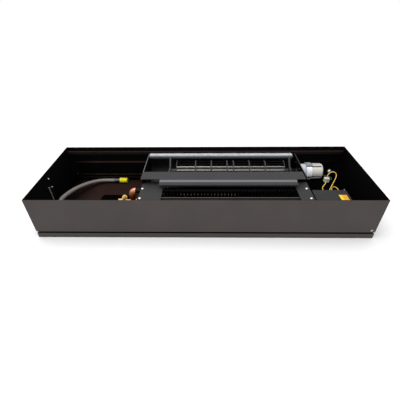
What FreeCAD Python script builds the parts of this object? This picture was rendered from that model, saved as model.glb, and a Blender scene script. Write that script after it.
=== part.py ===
import FreeCAD, Part
import math
import os

# In-floor (trench) convector with a tangential fan, shown with its walk-on grille off.
# Millimetres. Origin at the middle of the underside, +X along the trough, +Y to the rear, +Z up.

V = FreeCAD.Vector
AXIS = {"X": V(1, 0, 0), "Y": V(0, 1, 0), "Z": V(0, 0, 1)}

# Trough
length = 1000.0
width = 320.0
height = 140.0
sheet = 1.5
bend_radius = 1.5
hair = 0.001
pan_lip = 17.0
groove_height = 5.0
groove_depth = 5.0
pan_flange_height = 13.0
rail_drop = 14.0
rail_shelf = 10.0
rail_leg = 14.0
rail_end_gap = 0.5
rib_level = 78.0
rib_depth = 2.2
rib_crest = 4.0
rib_foot = 10.0
corner_leg = 16.0
corner_gap = 1.0

# Fasteners
screw_head_radius = 4.0
screw_head_height = 2.2
screw_crown_radius = 2.4
screw_rim_height = 1.1
screw_shank_radius = 2.0
screw_shank_length = 5.0
screw_clearance = 0.2
wall_screw_inset = 12.0
wall_screw_level = 31.0
rivet_radius = 2.6
rivet_height = 1.4
rivet_crown_radius = 1.4
rivet_shank_radius = 1.6
rivet_tip = 0.3

# Floor opening for pipes, cable entry and end bracket
opening_from_left = 140.0
opening_length = 92.0
opening_depth = 90.0
opening_rear = 48.0
opening_corner = 8.0
blank_rim = 5.0
blank_thickness = 2.5
blank_fit = 0.3
cable_entry_from_right = 29.0
cable_entry_level = 40.0
cable_bore_radius = 4.5
grommet_neck_radius = 6.0
grommet_flange_radius = 8.0
grommet_flange = 1.6
end_rivet_y = -12.5
end_rivet_drop = 25.0
bracket_rivet_level = 84.0
pan_rivet_y = 57.0
pan_rivet_level = 23.5
bracket_y = -31.0
bracket_bottom = 44.0
bracket_height = 50.0
bracket_flange = 22.0
bracket_web = 9.0

# Fan case
left_bay = 300.5
right_bay = 174.5
rear_gap = 8.0
case_depth = 160.0
case_drop = 20.0
case_foot = 14.0
scroll_gap = 20.25
flange_width = 24.5
flange_lip = 8.0
flange_end_left = 4.5
flange_end_right = 13.0
outlet_floor_length = 63.0
tongue_gap = 4.5
tongue_drop = 34.0
strip_rear_offset = 72.0
strip_width = 47.0
strip_end_right = 7.0
lip_run = 7.0
lip_drop = 4.0
lip_shelf = 15.0
lip_hem = 5.0
lip_inset_left = 61.0
lip_inset_right = 36.0

# Impeller and drive
impeller_room = 44.0
impeller_top_gap = 3.0
impeller_from_left = 104.5
impeller_from_right = 50.5
blade_count = 20
blade_chord = 10.5
blade_lead = 24.0
blade_bow = 1.6
blade_thickness = 0.9
ring_width = 5.5
ring_thickness = 4.0
segment_length = 54.0
middle_segment_length = 22.0
end_segment_length = 40.0
disc_thickness = 2.0
hub_radius = 9.0
hub_length = 20.0
shaft_radius = 4.0
bush_radius = 9.0
bush_length = 8.0
running_fit = 0.05
bush_gap = 1.0
bracket_plate = 5.0
bracket_hub_radius = 14.0
arm_angles = (45.0, 165.0, 248.0)
arm_width = 10.0
coupling_radius = 9.0
coupling_length = 16.0
coupling_waist_radius = 7.4
coupling_groove = 2.6
coupling_slope = 1.1
motor_hole_radius = 13.0
motor_flange_side = 60.0
motor_flange_corner = 9.0
motor_flange_thickness = 3.0
motor_screw_reach = 23.0
motor_bell_radius = 25.0
motor_bell_length = 23.5
motor_bell_mouth_radius = 20.0
motor_bell_slope = 7.0
motor_shaft_play = 1.0
motor_can_radius = 30.0
motor_can_length = 19.0
motor_can_edge = 1.5
motor_neck_radius = 24.0
motor_neck_length = 3.0
motor_shell_radius = 27.0
motor_shell_length = 29.0
motor_cap_step = 1.0
motor_cap_length = 6.0
motor_cap_round = 4.0
motor_cap_ease = 1.2

# Heat exchanger
tube_radius = 8.0
tube_wall = 1.0
rear_tube_inset = 24.4
tube_step = 35.0
tube_clearance = 0.2
tube_drop = 14.0
front_tube_drop = 24.0
fin_depth = 70.0
fin_height = 56.0
fin_top_gap = 3.0
fin_thickness = 0.6
fin_pitch = 10.3
fin_gap_left = 40.0
fin_gap_right = 6.0
exchanger_gap = 7.25
end_plate_flange = 34.0
plate_front_margin = 12.0
front_plate_gap = 2.0
front_plate_drop = 2.0
front_plate_lip = 3.0
tube_projection = 51.0
return_projection = 4.0

# Frame cover over the exchanger
cover_drop = 20.0
cover_gap = 0.5
cover_depth = 116.0
cover_front_skirt = 22.0
cover_rear_skirt = 9.0
cover_inset_left = 3.0
cover_right = 1.5
cover_notch = 14.0
window_inset_left = 68.5
window_inset_right = 41.0
window_front = 6.0
window_depth = 94.0
cover_screw_side = 8.0
cover_screw_rear = 38.0
cover_screw_spacing = 50.5

# Water connections
vent_from_elbow = 25.5
vent_radius = 8.0
vent_height = 26.0
vent_screw_radius = 2.5
vent_screw_depth = 6.0
vent_head_radius = 5.5
vent_head_height = 4.0
vent_slot_width = 1.2
vent_slot_depth = 1.5
vent_lift = 0.3
bend_size = 14.0
bend_outer_radius = 9.5
elbow_radius = 12.0
elbow_neck_radius = 11.0
elbow_step = 0.5
connection_level = 36.0
elbow_seat = 2.0
elbow_reach = 35.5
hex_flats = 27.0
hex_length = 13.0
connection_bore_radius = 9.3
connection_bore_depth = 12.0
union_radius = 10.5
union_length = 12.0
union_grip = 10.0
hose_nut_flats = 22.0
hose_nut_length = 16.0
ferrule_radius = 8.6
ferrule_length = 20.0
ferrule_waist_radius = 8.0
ferrule_band = 5.0
ferrule_slope = 2.0
hose_radius = 7.0
nipple_radius = 7.6
nipple_length = 24.0
cap_radius = 10.0
cap_length = 28.0
cap_wall = 1.6
cap_rim = 5.0
cap_rim_slope = 2.0
cap_fit = 0.3

# Control box
box_from_right = 41.0
box_length = 108.5
box_depth = 100.0
box_height = 70.0
box_rear = -11.0
lid_skirt = 10.0
lid_fit = 0.2
lid_screw_inset = 10.0
lid_screw_drop = 5.5
gland_radius = 5.0
gland_neck_radius = 3.5
gland_tip = -4.0
gland_level = 54.0
gland_offsets = (46.5, 64.5, 75.5, 96.5)
wire_radius = 1.2
lead_radius = 1.3
bend_share = 0.45
plug_step = 2.0
latch_below = 5.0
latch_above = 3.0
plug_size = (16.0, 12.0, 14.0)
plug_middle = (419.0, 54.0, 68.0)

# Places worked out from the sizes above
floor = sheet
lining = sheet + sheet / 2
wall_bottom = pan_lip + groove_height
pan_flange_top = pan_lip + pan_flange_height
rail_top = height - rail_drop
end_x = length / 2
side_y = width / 2
case_left = -end_x + left_bay
case_right = end_x - right_bay
case_rear = side_y - rear_gap
case_front = case_rear - case_depth
case_top = height - case_drop
impeller_radius = (case_top - impeller_room) / 2
scroll_radius = impeller_radius + scroll_gap
axis_y = case_rear - sheet / 2 - scroll_radius
axis_z = case_top - impeller_top_gap - impeller_radius
impeller_left = case_left + impeller_from_left
impeller_right = case_right - impeller_from_right
strip_rear = axis_y - strip_rear_offset
strip_front = strip_rear - strip_width
cover_rear_y = case_front - cover_gap
cover_front_y = cover_rear_y - cover_depth
cover_top = case_top - cover_drop
plate_top = cover_top - sheet
left_plate_x = case_left + end_plate_flange
right_plate_x = case_right - end_plate_flange
fin_rear = cover_rear_y - sheet - exchanger_gap / 2
fin_front = fin_rear - fin_depth
fin_top = cover_top - fin_top_gap
rear_tube_y = fin_rear - rear_tube_inset
front_tube_y = rear_tube_y - tube_step
rear_tube_level = cover_top - tube_drop
front_tube_level = rear_tube_level - front_tube_drop
fin_left = left_plate_x + fin_gap_left
fin_right = right_plate_x - fin_gap_right
tube_left = left_plate_x - tube_projection
tube_right = right_plate_x + return_projection
elbow_x = tube_left - bend_size
elbow_z = connection_level
vent_x = elbow_x - vent_from_elbow
connection_x = elbow_x - elbow_reach - hex_length
box_right = end_x - box_from_right
box_left = box_right - box_length
box_front = box_rear - box_depth
box_top = box_height
motor_x = case_right
cable_entry_x = end_x - cable_entry_from_right


def block(x0, x1, y0, y1, z0, z1):
    """A straight-edged block between two opposite corners."""
    return Part.makeBox(x1 - x0, y1 - y0, z1 - z0, V(x0, y0, z0))


def bar(start, direction, reach, radius):
    """A round bar from a start point."""
    return Part.makeCylinder(radius, reach, start, direction)


def along_x(x0, x1, y, z, radius):
    """A round bar between two places along the trough."""
    return bar(V(x0, y, z), AXIS["X"], x1 - x0, radius)


def on_plane(axis, first, second, along):
    """A point given by its two coordinates across an axis and its place along it."""
    if axis == "X":
        return V(along, first, second)
    if axis == "Y":
        return V(first, along, second)
    return V(first, second, along)


def unit(vector):
    """The same direction, one long."""
    return vector * (1.0 / vector.Length)


def line(start, end):
    """A straight edge."""
    return Part.LineSegment(start, end).toShape()


def arc(start, middle, end):
    """A round edge through three points."""
    return Part.Arc(start, middle, end).toShape()


def sheet_side(points, radii, normal, shift):
    """One face line of a folded sheet: its middle line moved sideways, with a round bend at each corner."""
    edges = []
    runs = [unit(b - a) for a, b in zip(points, points[1:])]
    sides = [normal.cross(run) for run in runs]
    last = points[0] + sides[0] * shift
    for i in range(1, len(points) - 1):
        before, after = runs[i - 1], runs[i]
        turn = before.getAngle(after)
        hand = 1.0 if normal.dot(before.cross(after)) > 0 else -1.0
        reach = radii[i] * math.tan(turn / 2)
        start = points[i] - before * reach
        end = points[i] + after * reach
        centre = start + sides[i - 1] * (hand * radii[i])
        outward = unit((start - centre) + (end - centre))
        first = start + sides[i - 1] * shift
        second = end + sides[i] * shift
        edges.append(line(last, first))
        edges.append(arc(first, centre + outward * (radii[i] - hand * shift), second))
        last = second
    finish = points[-1] + sides[-1] * shift
    edges.append(line(last, finish))
    return edges, points[0] + sides[0] * shift, finish


def folded_sheet(axis, start, end, path):
    """A sheet folded on a middle line, carried along one axis. A third value is a bend's own radius."""
    points = [on_plane(axis, p[0], p[1], start) for p in path]
    radii = [p[2] if len(p) > 2 else bend_radius for p in path]
    normal = AXIS[axis]
    left, left_start, left_end = sheet_side(points, radii, normal, sheet / 2)
    right, right_start, right_end = sheet_side(points, radii, normal, -sheet / 2)
    edges = left + right + [line(left_start, right_start), line(left_end, right_end)]
    outline = Part.Wire(Part.__sortEdges__(edges))
    return Part.Face(outline).extrude(normal * (end - start))


def hexagon(x0, x1, y, z, flats):
    """A six-sided bar along the trough, given by its width across flats."""
    corner = flats / math.sqrt(3)
    points = [V(x0, y + corner * math.cos(k * math.pi / 3), z + corner * math.sin(k * math.pi / 3))
              for k in range(7)]
    return Part.Face(Part.makePolygon(points)).extrude(AXIS["X"] * (x1 - x0))


def turned(axis_start, direction, profile):
    """A turned piece from a profile of (distance along the axis, radius) points, closed on its axis."""
    points = [V(reach, radius, 0) for reach, radius in profile]
    face = Part.Face(Part.makePolygon(points + [points[0]]))
    solid = face.revolve(V(0, 0, 0), AXIS["X"], 360)
    solid.Placement = FreeCAD.Placement(axis_start, FreeCAD.Rotation(AXIS["X"], direction))
    return solid


def edges_along(solid, axis):
    """The edges of a block that run along one axis."""
    return [e for e in solid.Edges if e.tangentAt(e.FirstParameter).cross(AXIS[axis]).Length < hair]


def screw(seat, direction):
    """A pan-head screw seated on a face, its shank running along the direction."""
    profile = [(screw_shank_length, 0), (screw_shank_length, screw_shank_radius), (0, screw_shank_radius),
               (0, screw_head_radius), (-screw_rim_height, screw_head_radius),
               (-screw_head_height, screw_crown_radius), (-screw_head_height, 0)]
    return turned(seat, direction, profile)


def screw_hole(seat, direction, reach):
    """The clearance hole for one screw, through what lies under its head."""
    return bar(seat - direction * reach, direction, 2 * reach, screw_shank_radius + screw_clearance)


def group(solids):
    """Like pieces that share one name, each still its own solid."""
    return Part.makeCompound(solids)


def bottom_pan():
    """Floor tray: an outer rim stepped in to a flange that the walls hang on, with a pipe opening."""
    step = groove_depth
    rim = block(-end_x, end_x, -side_y, side_y, 0, pan_lip)
    flange = block(-end_x + step, end_x - step, -side_y + step, side_y - step, 0, pan_flange_top)
    inside = step + sheet
    low = block(-end_x + sheet, end_x - sheet, -side_y + sheet, side_y - sheet, floor, pan_lip - sheet)
    high = block(-end_x + inside, end_x - inside, -side_y + inside, side_y - inside, floor, height)
    tray = rim.fuse(flange).removeSplitter().cut(low.fuse(high))
    tray = tray.cut(opening_outline(0.0, -sheet, height))
    for seat, direction, depth in floor_rivet_seats() + [pan_rivet_seat()]:
        tray = tray.cut(rivet_hole(seat, direction, depth))
    return tray


def opening_outline(margin, z0, z1):
    """The rounded rectangle of the pipe opening, grown by a margin."""
    x0 = -end_x + opening_from_left - margin
    x1 = -end_x + opening_from_left + opening_length + margin
    y0 = opening_rear - opening_depth - margin
    plug = block(x0, x1, y0, opening_rear + margin, z0, z1)
    return plug.makeFillet(opening_corner + margin, edges_along(plug, "Z"))


def pipe_opening_blank():
    """Moulded rubber blank: a plate on the floor with a plug that fills the opening."""
    plate = opening_outline(blank_rim, floor, floor + blank_thickness)
    plug = opening_outline(-blank_fit, 0.0, floor + blank_thickness)
    return plate.fuse(plug).removeSplitter()


def front_wall():
    """Front panel with a turned-in lower hem that makes the dark groove above the pan."""
    level = wall_bottom + sheet / 2
    path = [(-side_y + groove_depth, level), (-side_y + sheet / 2, level), (-side_y + sheet / 2, height)]
    panel = folded_sheet("X", -end_x, end_x, path)
    for seat, direction in wall_screw_seats():
        panel = panel.cut(screw_hole(seat, direction, 2 * sheet))
    return panel


def rear_wall():
    """Rear panel: the same hem, a pressed stiffening rib along its length, and the cable entry."""
    level = wall_bottom + sheet / 2
    face = side_y - sheet / 2
    crest = face - rib_depth
    path = [(side_y - groove_depth, level), (face, level), (face, rib_level - rib_foot / 2),
            (crest, rib_level - rib_crest / 2), (crest, rib_level + rib_crest / 2),
            (face, rib_level + rib_foot / 2), (face, height)]
    panel = folded_sheet("X", -end_x, end_x, path)
    for seat, direction in wall_screw_seats():
        panel = panel.cut(screw_hole(seat, direction, 2 * sheet))
    entry = V(cable_entry_x, side_y - 3 * sheet, cable_entry_level)
    return panel.cut(bar(entry, AXIS["Y"], 6 * sheet, grommet_neck_radius))


def end_wall(hand):
    """End panel between the front and rear panels, with the same hem."""
    level = wall_bottom + sheet / 2
    face = hand * (end_x - sheet / 2)
    path = [(hand * (end_x - groove_depth), level), (face, level), (face, height)]
    panel = folded_sheet("Y", -side_y + sheet, side_y - sheet, path)
    panel = panel.cut(front_wall()).cut(rear_wall())
    panel = max(panel.Solids, key=lambda solid: solid.Volume)
    for seat, direction, depth in end_rivet_seats():
        panel = panel.cut(rivet_hole(seat, direction, depth))
    return panel


def corner_angles():
    """Four upright angles inside the corners, which take the wall screws."""
    angles = []
    low = wall_bottom + sheet + corner_gap
    high = rib_level - rib_foot / 2 - corner_gap
    for hand in (-1, 1):
        for side in (-1, 1):
            x = hand * (end_x - lining)
            y = side * (side_y - lining)
            path = [(x - hand * corner_leg, y), (x, y), (x, y - side * corner_leg)]
            angle = folded_sheet("Z", low, high, path)
            for seat, direction in wall_screw_seats():
                angle = angle.cut(screw_hole(seat, direction, 3 * sheet))
            angles.append(angle)
    return group(angles)


def grille_rail(side):
    """Angle rail on a long wall: its shelf carries the edge of the walk-on grille."""
    face = side * (side_y - lining)
    shelf = rail_top - sheet / 2
    path = [(face, rail_top - rail_leg), (face, shelf), (side * (side_y - sheet - rail_shelf), shelf)]
    reach = end_x - sheet - rail_end_gap
    return folded_sheet("X", -reach, reach, path)


def wall_screw_seats():
    """Where the wall screws sit: low at the right of the front wall and at both ends of the rear wall."""
    seats = []
    for hand, side in ((1, -1), (-1, 1), (1, 1)):
        seat = V(hand * (end_x - wall_screw_inset), side * side_y, wall_screw_level)
        seats.append((seat, AXIS["Y"] * -side))
    return seats


def rivet(seat, direction, depth):
    """A low-domed rivet whose shank fills a stated depth."""
    profile = [(depth, 0), (depth, rivet_shank_radius), (0, rivet_shank_radius), (0, rivet_radius),
               (-rivet_height, rivet_crown_radius), (-rivet_height, 0)]
    return turned(seat, direction, profile)


def rivet_hole(seat, direction, depth):
    """The hole that one rivet fills."""
    return bar(seat - direction * rivet_height, direction, rivet_height + depth, rivet_shank_radius)


def floor_rivet_seats():
    """Rivets through the feet of the fan case and the exchanger plates into the floor."""
    places = []
    foot_mid = case_foot / 2 + sheet
    for x in (case_left + foot_mid, case_right - foot_mid):
        places += [(x, case_front + 2 * case_foot), (x, case_rear - 2 * case_foot)]
    for x in (case_left + end_plate_flange / 3, case_right - end_plate_flange / 3):
        places += [(x, rear_tube_y), (x, front_tube_y)]
    return [(V(x, y, 2 * floor), AXIS["Z"] * -1, 2 * floor - rivet_tip) for x, y in places]


def pan_rivet_seat():
    """The rivet low on the right-hand end of the pan."""
    face = end_x - groove_depth - sheet
    return (V(face, pan_rivet_y, pan_rivet_level), AXIS["X"], sheet)


def end_rivet_seats():
    """Rivets high on the left-hand end: one in the wall, one through the small bracket."""
    face = -end_x + sheet
    high = (V(face, end_rivet_y, height - end_rivet_drop), AXIS["X"] * -1, sheet - rivet_tip)
    low = (V(face + sheet, end_rivet_y, bracket_rivet_level), AXIS["X"] * -1, 2 * sheet - rivet_tip)
    return [high, low]


def rivets():
    """All the rivets: through the feet on the floor and on the inside of the two ends."""
    seats = floor_rivet_seats() + end_rivet_seats() + [pan_rivet_seat()]
    return group([rivet(*seat) for seat in seats])


def end_bracket():
    """Small upright angle riveted inside the left-hand end."""
    face = -end_x + lining
    path = [(face, bracket_y + bracket_flange), (face, bracket_y), (face + bracket_web, bracket_y)]
    angle = folded_sheet("Z", bracket_bottom, bracket_bottom + bracket_height, path)
    for seat, direction, depth in end_rivet_seats():
        angle = angle.cut(rivet_hole(seat, direction, depth))
    return angle


def cable_grommet():
    """Turned grommet in the rear wall, with a flange on each face and a bore for the supply cable."""
    start = V(cable_entry_x, side_y - sheet - grommet_flange, cable_entry_level)
    reach = sheet + 2 * grommet_flange
    profile = [(0, cable_bore_radius), (0, grommet_flange_radius), (grommet_flange, grommet_flange_radius),
               (grommet_flange, grommet_neck_radius), (grommet_flange + sheet, grommet_neck_radius),
               (grommet_flange + sheet, grommet_flange_radius), (reach, grommet_flange_radius),
               (reach, cable_bore_radius)]
    return turned(start, AXIS["Y"], profile)


def case_plate(hand):
    """Fan side plate, standing on a foot turned in under the air guide."""
    outer = case_right if hand > 0 else case_left
    face = outer - hand * sheet / 2
    level = floor + sheet / 2
    path = [(face - hand * case_foot, level), (face, level), (face, case_top - sheet)]
    plate = folded_sheet("Y", case_front, case_rear, path)
    for seat, direction, depth in floor_rivet_seats():
        plate = plate.cut(rivet_hole(seat, direction, depth))
    if hand > 0:
        plate = plate.cut(along_x(outer - 2 * sheet, outer + sheet, axis_y, axis_z, motor_hole_radius))
        for seat, direction in motor_screw_seats():
            plate = plate.cut(screw_hole(seat, direction, screw_shank_length + sheet))
    return plate


def rear_air_guide():
    """Galvanised scroll: lip, top flange, rear wall, round bottom under the impeller and outlet floor."""
    top = case_top - sheet / 2
    back = case_rear - sheet / 2
    flange_front = back - flange_width
    bottom = axis_z - scroll_radius
    outlet = axis_y - outlet_floor_length
    path = [(flange_front, case_top - flange_lip), (flange_front, top), (back, top),
            (back, bottom, scroll_radius), (outlet, bottom), (outlet, 2 * floor + bend_radius)]
    guide = folded_sheet("X", case_left + sheet, case_right - sheet, path)
    bare_left = case_left + flange_end_left
    bare_right = case_right - flange_end_right
    low = case_top - flange_lip - sheet
    ends = [block(case_left, bare_left, flange_front - sheet, case_rear, low, case_top),
            block(bare_right, case_right, flange_front - sheet, case_rear, low, case_top)]
    return guide.cut(group(ends))


def tongue_tip():
    """The lower edge of the tongue, a set gap away from the impeller."""
    level = case_top - sheet / 2 - tongue_drop
    reach = impeller_radius + tongue_gap
    return axis_y - math.sqrt(reach ** 2 - (level - axis_z) ** 2), level


def front_air_cover():
    """Painted strip over the air path: a tongue towards the impeller, a flat top and a sloping front lip."""
    top = case_top - sheet / 2
    strip_end = case_right - strip_end_right
    tongue = folded_sheet("X", case_left + sheet, strip_end,
                          [tongue_tip(), (strip_rear, top), (strip_front + strip_width / 2, top)])
    lip_front = strip_front - lip_run - lip_shelf
    lip = folded_sheet("X", case_left + lip_inset_left, case_right - lip_inset_right,
                       [(strip_front + strip_width / 2, top), (strip_front, top),
                        (strip_front - lip_run, top - lip_drop), (lip_front, top - lip_drop),
                        (lip_front, top - lip_drop - lip_hem)])
    shoulder = bend_radius + sheet
    strip = block(case_left, strip_end, strip_front + shoulder, strip_rear - shoulder,
                  case_top - sheet, case_top)
    return strip.fuse([tongue, lip]).removeSplitter()


def spider(middle):
    """Three-armed bearing bracket whose arms end on the flange, the tongue and the scroll."""
    x0 = middle - bracket_plate / 2
    x1 = middle + bracket_plate / 2
    plate = along_x(x0, x1, axis_y, axis_z, bracket_hub_radius)
    reach = scroll_radius + 2 * sheet
    for angle in arm_angles:
        arm = block(x0, x1, 0, reach, -arm_width / 2, arm_width / 2)
        arm.rotate(V(0, 0, 0), AXIS["X"], angle)
        arm.translate(V(0, axis_y, axis_z))
        plate = plate.fuse(arm)
    plate = plate.removeSplitter().cut(along_x(x0, x1, axis_y, axis_z, bush_radius))
    over = block(x0, x1, -side_y, side_y, case_top - sheet, height)
    plate = plate.cut(over).cut(rear_air_guide()).cut(front_air_cover())
    return max(plate.Solids, key=lambda solid: solid.Volume)


def left_bush_middle():
    """Middle of the left-hand bearing bush along the trough."""
    return impeller_left - hub_length - bush_gap - bush_length / 2


def right_bush_middle():
    """Middle of the right-hand bearing bush along the trough."""
    return impeller_right + hub_length + bush_gap + bush_length / 2


def bearing_bushes():
    """Two plain bearing bushes, each pressed into its spider."""
    bushes = []
    for middle in (left_bush_middle(), right_bush_middle()):
        x0 = middle - bush_length / 2
        x1 = middle + bush_length / 2
        ring = along_x(x0, x1, axis_y, axis_z, bush_radius)
        bushes.append(ring.cut(along_x(x0, x1, axis_y, axis_z, shaft_radius + running_fit)))
    return group(bushes)


def ring_places():
    """Middles of the support rings: a short pair at mid length, then equal steps towards both ends."""
    centre = (impeller_left + impeller_right) / 2
    half = (impeller_right - impeller_left - middle_segment_length) / 2
    steps = int((half - end_segment_length) / segment_length)
    offsets = [middle_segment_length / 2 + k * segment_length for k in range(steps + 1)]
    return sorted([centre - d for d in offsets] + [centre + d for d in offsets])


def ring_solids():
    """The support rings, flush with the outer edges of the blades."""
    rings = []
    for middle in ring_places():
        x0 = middle - ring_thickness / 2
        x1 = middle + ring_thickness / 2
        ring = along_x(x0, x1, axis_y, axis_z, impeller_radius)
        rings.append(ring.cut(along_x(x0, x1, axis_y, axis_z, impeller_radius - ring_width)))
    return rings


def impeller_rings():
    """The support rings as one group."""
    return group(ring_solids())


def around_axis(radius, angle, x):
    """A point at a radius and an angle about the impeller's axis."""
    return V(x, axis_y + radius * math.cos(angle), axis_z + radius * math.sin(angle))


def impeller_blades():
    """Forward-curved blades running the whole length, notched where the rings sit."""
    x0 = impeller_left + disc_thickness
    x1 = impeller_right - disc_thickness
    outer = impeller_radius
    inner = impeller_radius - blade_chord
    middle = impeller_radius - blade_chord / 2
    lead = math.radians(blade_lead)
    bow = blade_bow / middle
    thick = blade_thickness / middle
    front = arc(around_axis(outer, 0, x0), around_axis(middle, bow - lead / 2, x0),
                around_axis(inner, -lead, x0))
    back = arc(around_axis(outer, thick, x0), around_axis(middle, bow - lead / 2 + thick, x0),
               around_axis(inner, thick - lead, x0))
    edges = [front, back, line(around_axis(outer, 0, x0), around_axis(outer, thick, x0)),
             line(around_axis(inner, -lead, x0), around_axis(inner, thick - lead, x0))]
    section = Part.Face(Part.Wire(Part.__sortEdges__(edges)))
    blade = section.extrude(AXIS["X"] * (x1 - x0)).cut(group(ring_solids()))
    blades = []
    for k in range(blade_count):
        copy = blade.copy()
        copy.rotate(V(0, axis_y, axis_z), AXIS["X"], k * 360.0 / blade_count)
        blades += copy.Solids
    return group(blades)


def end_disc(hand):
    """Closed end disc of the impeller with a hub on its outer face."""
    outer = impeller_right if hand > 0 else impeller_left
    profile = [(0, shaft_radius), (0, impeller_radius), (disc_thickness, impeller_radius),
               (disc_thickness, hub_radius), (disc_thickness + hub_length, hub_radius),
               (disc_thickness + hub_length, shaft_radius)]
    return turned(V(outer - hand * disc_thickness, axis_y, axis_z), AXIS["X"] * hand, profile)


def coupling_start():
    """Left-hand face of the shaft coupling."""
    return right_bush_middle() + bush_length / 2 + bush_gap


def impeller_shafts():
    """A stub from the left-hand disc through its bush, and the driven shaft half way into the coupling."""
    stub_end = left_bush_middle() - bush_length / 2 - bush_gap
    stub = along_x(stub_end, impeller_left + disc_thickness, axis_y, axis_z, shaft_radius)
    driven_end = coupling_start() + coupling_length / 2
    driven = along_x(impeller_right - disc_thickness, driven_end, axis_y, axis_z, shaft_radius)
    return group([stub, driven])


def shaft_coupling():
    """Rubber-bushed sleeve that joins the impeller's shaft to the motor's."""
    left = coupling_length / 2 - coupling_groove / 2
    right = coupling_length / 2 + coupling_groove / 2
    profile = [(0, shaft_radius), (0, coupling_radius), (left - coupling_slope, coupling_radius),
               (left, coupling_waist_radius), (right, coupling_waist_radius),
               (right + coupling_slope, coupling_radius), (coupling_length, coupling_radius),
               (coupling_length, shaft_radius)]
    return turned(V(coupling_start(), axis_y, axis_z), AXIS["X"], profile)


def motor_shaft():
    """The motor's output shaft, from the coupling into the motor's front bell."""
    end = motor_x + motor_flange_thickness + motor_bell_length / 2
    return along_x(coupling_start() + coupling_length / 2, end, axis_y, axis_z, shaft_radius)


def motor_screw_seats():
    """Four screws at the corners of the motor flange."""
    seats = []
    for dy in (-motor_screw_reach, motor_screw_reach):
        for dz in (-motor_screw_reach, motor_screw_reach):
            seats.append((V(motor_x + motor_flange_thickness, axis_y + dy, axis_z + dz), AXIS["X"] * -1))
    return seats


def motor_flange():
    """Round-cornered mounting plate of the motor."""
    half = motor_flange_side / 2
    plate = block(motor_x, motor_x + motor_flange_thickness, axis_y - half, axis_y + half,
                  axis_z - half, axis_z + half)
    plate = plate.makeFillet(motor_flange_corner, edges_along(plate, "X"))
    hole = shaft_radius + screw_clearance
    plate = plate.cut(along_x(motor_x, motor_x + motor_flange_thickness, axis_y, axis_z, hole))
    for seat, direction in motor_screw_seats():
        plate = plate.cut(screw_hole(seat, direction, screw_shank_length))
    return plate


def motor_bell():
    """Front bell of the motor, bored for its shaft."""
    start = V(motor_x + motor_flange_thickness, axis_y, axis_z)
    bore = shaft_radius + running_fit
    depth = motor_bell_length / 2 + motor_shaft_play
    profile = [(0, bore), (0, motor_bell_mouth_radius), (motor_bell_slope, motor_bell_radius),
               (motor_bell_length, motor_bell_radius), (motor_bell_length, 0), (depth, 0), (depth, bore)]
    return turned(start, AXIS["X"], profile)


def motor_can():
    """Pressed steel can round the stator, with a neck that takes the rear shell."""
    start = V(motor_x + motor_flange_thickness + motor_bell_length, axis_y, axis_z)
    edge = motor_can_edge
    neck_end = motor_can_length + motor_neck_length
    profile = [(0, 0), (0, motor_can_radius - edge), (edge, motor_can_radius),
               (motor_can_length - edge, motor_can_radius), (motor_can_length, motor_can_radius - edge),
               (motor_can_length, motor_neck_radius), (neck_end, motor_neck_radius), (neck_end, 0)]
    return turned(start, AXIS["X"], profile)


def motor_rear_start():
    """Where the motor's rear shell begins."""
    return motor_x + motor_flange_thickness + motor_bell_length + motor_can_length + motor_neck_length


def motor_rear_shell():
    """Rear shell of the motor, which holds its control board."""
    start = motor_rear_start()
    return along_x(start, start + motor_shell_length, axis_y, axis_z, motor_shell_radius)


def motor_end_cap():
    """Domed moulded cap on the motor's rear shell."""
    start = V(motor_rear_start() + motor_shell_length, axis_y, axis_z)
    rim = motor_shell_radius - motor_cap_step
    profile = [(0, 0), (0, rim), (motor_cap_length - motor_cap_round, rim),
               (motor_cap_length - motor_cap_ease, rim - motor_cap_ease),
               (motor_cap_length, rim - motor_cap_round), (motor_cap_length, 0)]
    return turned(start, AXIS["X"], profile)


def tube_holes(x0, x1, radius):
    """Bores for the two exchanger tubes."""
    rear = along_x(x0, x1, rear_tube_y, rear_tube_level, radius)
    return [rear, along_x(x0, x1, front_tube_y, front_tube_level, radius)]


def fin_pack():
    """Pressed fins, evenly spaced along the two tubes."""
    count = int((fin_right - fin_left - fin_thickness) / fin_pitch) + 1
    start = (fin_left + fin_right - (count - 1) * fin_pitch - fin_thickness) / 2
    fin = block(start, start + fin_thickness, fin_front, fin_rear, fin_top - fin_height, fin_top)
    fin = fin.cut(group(tube_holes(start, start + fin_thickness, tube_radius)))
    return group([moved(fin, k * fin_pitch) for k in range(count)])


def moved(shape, step):
    """A copy of a shape, moved along the trough."""
    copy = shape.copy()
    copy.translate(V(step, 0, 0))
    return copy


def exchanger_tubes():
    """Two straight copper tubes, the front one set lower."""
    outer = tube_holes(tube_left, tube_right, tube_radius)
    inner = tube_holes(tube_left, tube_right, tube_radius - tube_wall)
    return group([tube.cut(bore) for tube, bore in zip(outer, inner)])


def pipe_along(edges, start, direction, radius):
    """A hollow copper pipe along a line of edges."""
    path = Part.Wire(edges)
    rings = [Part.Wire(Part.makeCircle(r, start, direction)) for r in (radius, tube_radius - tube_wall)]
    outer = path.makePipe(Part.Face(rings[0]))
    return outer.cut(path.makePipe(Part.Face(rings[1])))


def return_bend():
    """Copper U-bend that joins the two tubes at the right-hand end."""
    rear = V(tube_right, rear_tube_y, rear_tube_level)
    front = V(tube_right, front_tube_y, front_tube_level)
    far = (rear + front) * 0.5 + AXIS["X"] * ((rear - front).Length / 2)
    return pipe_along([arc(rear, far, front)], rear, AXIS["X"], tube_radius)


def supply_bend():
    """Copper bend from the rear tube down into the brass elbow."""
    start = V(tube_left, rear_tube_y, rear_tube_level)
    low = V(elbow_x, rear_tube_y, rear_tube_level - bend_size)
    slant = bend_size * math.sqrt(0.5)
    middle = V(tube_left - slant, rear_tube_y, rear_tube_level - bend_size + slant)
    end = V(elbow_x, rear_tube_y, elbow_z + elbow_seat)
    return pipe_along([arc(start, middle, low), line(low, end)], start, AXIS["X"], bend_outer_radius)


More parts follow.
